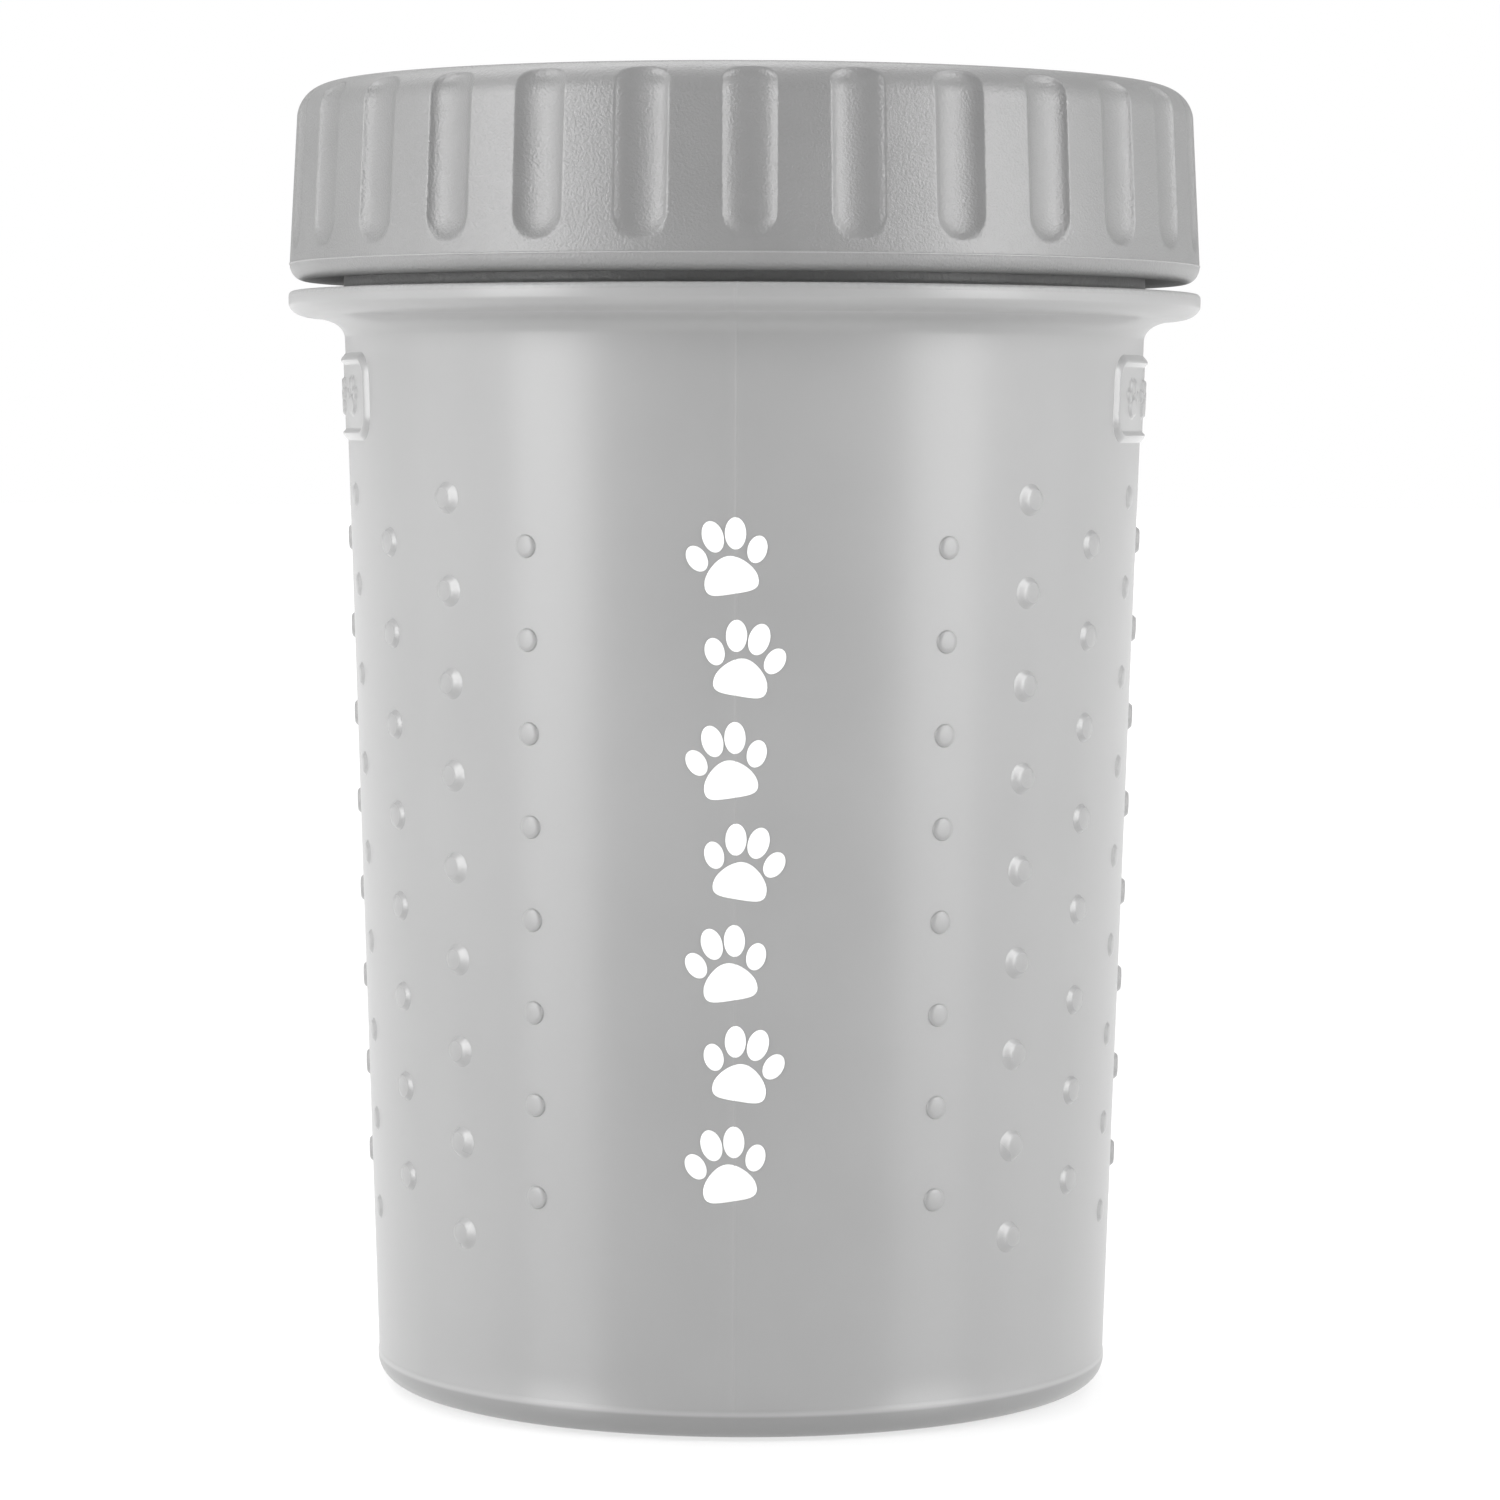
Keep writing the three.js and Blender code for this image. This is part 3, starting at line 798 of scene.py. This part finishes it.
def ring_profile():
    """The ring's outline and the rows of it that carry the flutes."""
    foot_round = (RING_FOOT_ROUND, RING_PARTING_Z - RING_FOOT_Z)
    slope_top = (SKIRT_BORE_R, RING_FOOT_Z + RING_FOOT_SLOPE)
    foot = np.vstack([
        line(slope_top, (RING_FOOT_SLOPE_R, RING_FOOT_Z + 0.05 * MM), 4),
        arc((RING_R - RING_FOOT_ROUND, RING_PARTING_Z), foot_round, -90, -4, 12),
    ])
    parting = np.array((RING_R, RING_PARTING_Z)) + np.array(PARTING_RIDGE) * MM
    side_foot = np.array([RING_R - 0.015 * MM, RING_PARTING_Z + 0.3 * MM])
    # finer rows where the flutes' lower ends are
    rise = np.concatenate([
        np.linspace(0, 0.27, 22, endpoint=False),
        np.linspace(0.27, 1, 8, endpoint=False),
    ])
    side = side_foot + rise[:, None] * (np.array(RING_SHOULDER) - side_foot)
    centre = (RING_TOP_R, RING_SHOULDER[1])
    radii = (RING_SHOULDER[0] - RING_TOP_R, TOP_Z - RING_SHOULDER[1])
    # and finer ones on the middle of the shoulder, where their upper ends are
    shoulder = np.vstack([
        arc(centre, radii, 0, 26, 8),
        arc(centre, radii, 26, 58, 18),
        arc(centre, radii, 58, 90, 9),
    ])
    roll, lip, corner = MOUTH_ROLL, LIP_ROUND, ROOF_ROUND
    inside = np.vstack([
        line((RING_TOP_R, TOP_Z), (MOUTH_R + roll, TOP_Z), 3),
        arc((MOUTH_R + roll, TOP_Z - roll), (roll, roll), 90, 180, 10),
        line((MOUTH_R, TOP_Z - roll), (MOUTH_R, LIP_LOW + lip), 3),
        arc((MOUTH_R + lip, LIP_LOW + lip), (lip, lip), 180, 360, 8),
        line((LIP_OUTER_R, LIP_LOW + lip), (LIP_OUTER_R, ROOF_Z), 2),
        line((LIP_OUTER_R, ROOF_Z), (SKIRT_BORE_R - corner, ROOF_Z), 3),
        arc((SKIRT_BORE_R - corner, ROOF_Z - corner), (corner, corner), 90, 0, 4),
        line((SKIRT_BORE_R, ROOF_Z - corner), slope_top, 4),
    ])
    rows = slice(len(foot) + len(parting), len(foot) + len(parting) + len(side) + len(shoulder))
    return np.vstack([foot, parting, side, shoulder, inside]), rows


def ring_azimuths():
    """Steps that are fine at the lips of every flute."""
    half = np.array(FLUTE_POINTS) * MM / RING_R
    one_flute = np.concatenate([-half[::-1], [0], half, [FLUTE_PITCH / 2]])
    return (FLUTE_PHASE + np.arange(FLUTE_COUNT)[:, None] * FLUTE_PITCH + one_flute).ravel()


def ring_lug(start, end):
    """A block on the skirt's bore, with eased edges on the face towards the axis."""
    ease, low, high = LUG_EASE, RING_LUG_LOW, RING_LUG_HIGH
    inner_r, outer_r = RING_LUG_R, SKIRT_BORE_R + 0.6 * MM
    outline = np.vstack([
        line((outer_r, high), (inner_r + ease, high), 3),
        arc((inner_r + ease, high - ease), (ease, ease), 90, 180, 3),
        line((inner_r, high - ease), (inner_r, low + ease), 4),
        arc((inner_r + ease, low + ease), (ease, ease), 180, 270, 3),
        line((inner_r + ease, low), (outer_r, low), 3),
        [(outer_r, low)],
    ])
    return swept(outline, np.linspace(start, end, 24))


def build_ring(material):
    """The ring's shell with its flutes, and its four lugs."""
    profile, rows = ring_profile()
    parts = [revolve(profile, ring_azimuths(), flute_relief, rows)]
    for index in range(LUG_COUNT):
        centre = index * 360 / LUG_COUNT * DEG
        parts.append(ring_lug(centre - RING_LUG_HALF_ANGLE, centre + RING_LUG_HALF_ANGLE))
    return new_object("twist_ring_shell", *joined(parts), material)


# ---------------------------------------------------------------- seal and insert

def build_seal(material):
    """A flat ring with rounded edges."""
    inner, outer = SEAL_INNER_R, SEAL_HIGH.x
    low, high = SEAL_LOW.z, SEAL_HIGH.z
    half = (high - low) / 2
    profile = np.vstack([
        arc((outer - half, low + half), (half, half), -90, 90, 10),
        line((outer - half, high), (inner + half, high), 8),
        arc((inner + half, low + half), (half, half), 90, 270, 10),
        line((inner + half, low), (outer - half, low), 8),
    ])
    return new_object("rim_seal_ring", *revolve(profile, full_turn(256)), material)


def sleeve_bore(z):
    """The radius of the sleeve's tapered bore."""
    foot, top = SLEEVE_FOOT_R - SLEEVE_WALL, SLEEVE_TOP_R - SLEEVE_WALL
    return foot + (top - foot) * (z - SLEEVE_LOW.z) / (SLEEVE_HIGH.z - SLEEVE_LOW.z)


def build_sleeve(material):
    """The tapered sleeve, with a round foot and a flange that hangs on the cup's rim."""
    flange_low = SLEEVE_HIGH.z - SLEEVE_FLANGE_THICKNESS
    flange_half = SLEEVE_FLANGE_THICKNESS / 2
    half = SLEEVE_WALL / 2
    bore_foot, bore_top = sleeve_bore(SLEEVE_LOW.z), sleeve_bore(SLEEVE_HIGH.z)
    flange_r = SLEEVE_HIGH.x
    ease = SLEEVE_EASE
    profile = np.vstack([
        arc((bore_foot + half, SLEEVE_LOW.z + half), (half, half), 180, 360, 10),
        line((SLEEVE_FOOT_R, SLEEVE_LOW.z + half), (SLEEVE_TOP_R, flange_low - ease), 24),
        arc((SLEEVE_TOP_R + ease, flange_low - ease), (ease, ease), 180, 90, 4),
        line((SLEEVE_TOP_R + ease, flange_low), (flange_r - flange_half, flange_low), 4),
        arc((flange_r - flange_half, flange_low + flange_half), (flange_half, flange_half), -90, 90, 10),
        line((flange_r - flange_half, SLEEVE_HIGH.z), (bore_top + ease, SLEEVE_HIGH.z), 5),
        arc((bore_top + ease, SLEEVE_HIGH.z - ease), (ease, ease), 90, 180, 4),
        line((bore_top, SLEEVE_HIGH.z - ease), (bore_foot, SLEEVE_LOW.z + half), 24),
    ])
    return new_object("sleeve_tube", *revolve(profile, full_turn(192)), material)


def bristle(z):
    """A tapered round-tipped bristle that points from the sleeve at -Y towards the axis."""
    root_r = sleeve_bore(z) - BRISTLE_ROOT
    tip_r, sides, cap = BRISTLE_TIP_CIRCLE_R, BRISTLE_SIDES, BRISTLE_TIP_R
    length = root_r - tip_r
    stations = [(0.0, 2.2 * MM), (0.6 * MM, 1.85 * MM), (1.4 * MM, 1.62 * MM)]
    stations += [(0.35 * length, 1.36 * MM), (0.7 * length, 1.1 * MM)]
    for angle in (0, 30, 55, 75):
        stations.append((length - cap + cap * math.sin(angle * DEG), cap * math.cos(angle * DEG)))
    turn = full_turn(sides)
    rings = []
    for along, size in stations:
        y = np.full(sides, -root_r + along)
        rings.append(np.stack([size * np.cos(turn), y, z + size * np.sin(turn)], 1))
    points = np.vstack([*rings, [(0, -tip_r, z), (0, -root_r, z)]])
    faces = [tuple(reversed(f)) for f in grid_faces(len(rings), sides, False, True)]
    last, tip = (len(rings) - 1) * sides, len(rings) * sides
    faces += [(last + (j + 1) % sides, last + j, tip) for j in range(sides)]
    faces += [(j, (j + 1) % sides, tip + 1) for j in range(sides)]
    return points, faces


def strip_band(low, high):
    """The strip's backing: a band with rounded edges that lies on the sleeve's bore at -Y."""
    half_width, thickness, sides = STRIP_HALF_WIDTH, STRIP_THICKNESS, STRIP_SIDES
    outline = []
    for j in range(sides):
        angle = 2 * math.pi * j / sides
        wide = math.copysign(abs(math.cos(angle)) ** 0.35, math.cos(angle))
        deep = math.copysign(abs(math.sin(angle)) ** 0.6, math.sin(angle))
        outline.append((half_width * wide, thickness / 2 * deep))
    heights = np.concatenate([[low], np.linspace(low + STRIP_EASE, high - STRIP_EASE, 24), [high]])
    rings = []
    for z in heights:
        ease = 0.8 if z in (low, high) else 1.0
        middle = sleeve_bore(z) - STRIP_GAP - thickness / 2
        rings.append([(x * ease, -middle + y * ease, z) for x, y in outline])
    points = np.vstack(rings)
    faces = grid_faces(len(rings), sides, False, True)
    last = (len(rings) - 1) * sides
    faces.append(tuple(reversed(range(sides))))
    faces.append(tuple(range(last, last + sides)))
    return points, faces


def build_strip(index, material):
    """One row of bristles on its strip. Every second row is one bristle shorter and half a step higher."""
    long_row = index % 2 == 0
    count = BRISTLES_ON_LONG_ROW - (0 if long_row else 1)
    first = BRISTLE_FIRST_Z + (0 if long_row else BRISTLE_PITCH / 2)
    name = f"bristle_strip_{index + 1:02d}"
    low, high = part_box(name)
    parts = [strip_band(low.z, high.z)]
    parts += [bristle(first + i * BRISTLE_PITCH) for i in range(count)]
    points, faces = joined(parts)
    turn = index * 2 * math.pi / STRIP_COUNT
    x, y = points[:, 0].copy(), points[:, 1].copy()
    points[:, 0] = x * math.cos(turn) - y * math.sin(turn)
    points[:, 1] = x * math.sin(turn) + y * math.cos(turn)
    made = new_object(f"bristles_{index + 1:02d}", points, faces, material)
    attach(made, "insert")
    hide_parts(name)


# ---------------------------------------------------------------- stage, light and camera

FLOOR_SIZE = 12.0
FLOOR_Z = -0.4 * MM
FLOOR_GLOW_NEAR = 0.58        # metres from the cup, where the floor starts to glow more
FLOOR_GLOW_FAR = 0.8

ROOM_FRONT = (0.04, 0.1)      # place in the room from front (0) to back (1), and brightness there
ROOM_SIDES = ((0.37, 0.95), (0.62, 0.95))
ROOM_BACK = (0.97, 0.5)

LIGHT_DISTANCE = 0.9
LIGHT_WIDTH = 0.38            # of the two lights that draw the streaks down the flanks
WING_WIDTH = 0.5
LIGHT_HEIGHT = 1.0
LIGHT_ELEVATION = 8
LEFT_POWER = 8.8
RIGHT_POWER = 0.92 * LEFT_POWER
WING_POWER = 1.7
TOP_POWER = 4

CAMERA_LENS = 121.3824        # mm, on a sensor 36 mm wide
CAMERA_SENSOR = 36
CAMERA_DISTANCE = 605.1 * MM
CAMERA_SIDE = 0.84 * MM
CAMERA_HEIGHT = 114.5 * MM
CAMERA_AZIMUTH = 0.944 * DEG
CAMERA_PITCH = 3.746 * DEG
CAMERA_ROLL = 0.21 * DEG


def stage_material():
    """A glossy white table that glows a little more further out, where the side lights don't reach."""
    material, nodes, links, shader = node_material("pale_floor")
    tone = remap(nodes, links, noise(nodes, links, 6, 2), 0, 1)
    links.new(two_tone(nodes, links, tone, (0.44,) * 3, (0.46,) * 3), shader.inputs["Base Color"])
    shader.inputs["Roughness"].default_value = 0.1
    place = nodes.new("ShaderNodeTexCoord")
    reach = nodes.new("ShaderNodeVectorMath")
    reach.operation = "LENGTH"
    links.new(place.outputs["Object"], reach.inputs[0])
    glow = remap(nodes, links, reach.outputs["Value"], FLOOR_GLOW_NEAR, FLOOR_GLOW_FAR, 0.5, 1.6)
    links.new(glow, shader.inputs["Emission Strength"])
    shader.inputs["Emission Color"].default_value = (1, 1, 1, 1)
    return material


def build_stage():
    """The table that the cup stands on."""
    bpy.ops.mesh.primitive_plane_add(size=FLOOR_SIZE, location=(0, 0, FLOOR_Z))
    floor = bpy.context.object
    floor.name = "floor"
    floor.data.materials.append(stage_material())


def area_light(name, azimuth, elevation, width, height, power):
    """A soft box that faces the middle of the cup, azimuth and elevation in degrees."""
    data = bpy.data.lights.new(name, "AREA")
    data.shape = "RECTANGLE"
    data.size = width
    data.size_y = height
    data.energy = power
    light = bpy.data.objects.new(name, data)
    bpy.context.scene.collection.objects.link(light)
    a, e = azimuth * DEG, elevation * DEG
    target = np.array([0, 0, TOP_Z / 2])
    direction = np.array([math.sin(a) * math.cos(e), -math.cos(a) * math.cos(e), math.sin(e)])
    place = target + LIGHT_DISTANCE * direction
    light.location = place
    aim = (Vector(target) - Vector(place)).to_track_quat("-Z", "Y")
    light.rotation_mode = "QUATERNION"
    light.rotation_quaternion = aim


def studio_world():
    """A room that is seen as plain white, and whose light is dim in front and bright at the sides."""
    world = bpy.data.worlds.new("studio")
    world.use_nodes = True
    nodes, links = world.node_tree.nodes, world.node_tree.links
    background = nodes["Background"]
    direction = nodes.new("ShaderNodeTexCoord")
    split = nodes.new("ShaderNodeSeparateXYZ")
    links.new(direction.outputs["Generated"], split.inputs["Vector"])
    ramp = nodes.new("ShaderNodeValToRGB")
    links.new(remap(nodes, links, split.outputs["Y"], 0, 1, -1, 1), ramp.inputs["Fac"])
    stops = ramp.color_ramp.elements
    set_stop(stops[0], *ROOM_FRONT)
    set_stop(stops[1], *ROOM_BACK)
    for place, brightness in ROOM_SIDES:
        stops.new(place).color = grey(brightness)
    path = nodes.new("ShaderNodeLightPath")
    seen = nodes.new("ShaderNodeMix")
    links.new(path.outputs["Is Camera Ray"], seen.inputs["Factor"])
    links.new(ramp.outputs["Color"], seen.inputs["A"])
    seen.inputs["B"].default_value = 1.0
    links.new(seen.outputs["Result"], background.inputs["Strength"])
    background.inputs["Color"].default_value = (1, 1, 1, 1)
    bpy.context.scene.world = world


def build_light():
    """The room, a soft box and a weaker wing on each side, and one box high at the back."""
    studio_world()
    box = (LIGHT_WIDTH, LIGHT_HEIGHT)
    wing = (WING_WIDTH, LIGHT_HEIGHT)
    area_light("left_box", -54, LIGHT_ELEVATION, *box, LEFT_POWER)
    area_light("right_box", 59, LIGHT_ELEVATION, *box, RIGHT_POWER)
    area_light("left_wing", -88, LIGHT_ELEVATION, *wing, WING_POWER)
    area_light("right_wing", 88, LIGHT_ELEVATION, *wing, WING_POWER)
    area_light("top_box", -155, 62, 0.9, 0.7, TOP_POWER)


def build_camera():
    """Eye level near the top of the cup, from the front, looking slightly down."""
    azimuth, pitch, roll = CAMERA_AZIMUTH, CAMERA_PITCH, CAMERA_ROLL
    right = np.array([math.cos(azimuth), math.sin(azimuth), 0])
    ahead = np.array([-math.sin(azimuth), math.cos(azimuth), 0])
    place = CAMERA_SIDE * right - CAMERA_DISTANCE * ahead + np.array([0, 0, CAMERA_HEIGHT])
    look = math.cos(pitch) * ahead - np.array([0, 0, math.sin(pitch)])
    up = math.sin(pitch) * ahead + np.array([0, 0, math.cos(pitch)])
    right_rolled = math.cos(roll) * right + math.sin(roll) * up
    up_rolled = -math.sin(roll) * right + math.cos(roll) * up
    data = bpy.data.cameras.new("camera")
    data.sensor_width = CAMERA_SENSOR
    data.lens = CAMERA_LENS
    camera = bpy.data.objects.new("camera", data)
    bpy.context.scene.collection.objects.link(camera)
    axes = np.stack([right_rolled, up_rolled, -look, place], 1)
    camera.matrix_world = Matrix([*axes.tolist(), [0, 0, 0, 1]])
    bpy.context.scene.camera = camera


# ---------------------------------------------------------------- assembly

build_camera()
build_light()
build_stage()
bpy.context.scene.view_settings.view_transform = "Standard"

cup_material = frosted_plastic("frosted_plastic", 0.46, 0.52)
raised_material = frosted_plastic("frosted_plastic_raised", 0.24, 0.28)
silicone = soft_silicone()

cup = build_cup(cup_material)
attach(cup, "cup_body")
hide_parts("cup")

bumps = build_bumps(cup_material, raised_material)
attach(bumps, "cup_body")

for side_name, side_azimuth in (("left", -90), ("right", 90)):
    badge = build_badge(f"badge_{side_name}", side_azimuth * DEG, raised_material)
    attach(badge, "cup_body")

trail = build_paw_trail(print_ink())
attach(trail, "cup_body")

ring = build_ring(grained_plastic())
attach(ring, "ring")
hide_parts("twist_ring")

seal = build_seal(seal_rubber())
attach(seal, "seal")
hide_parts("rim_seal")

sleeve = build_sleeve(silicone)
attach(sleeve, "insert")
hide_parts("sleeve")

for strip_index in range(STRIP_COUNT):
    build_strip(strip_index, silicone)
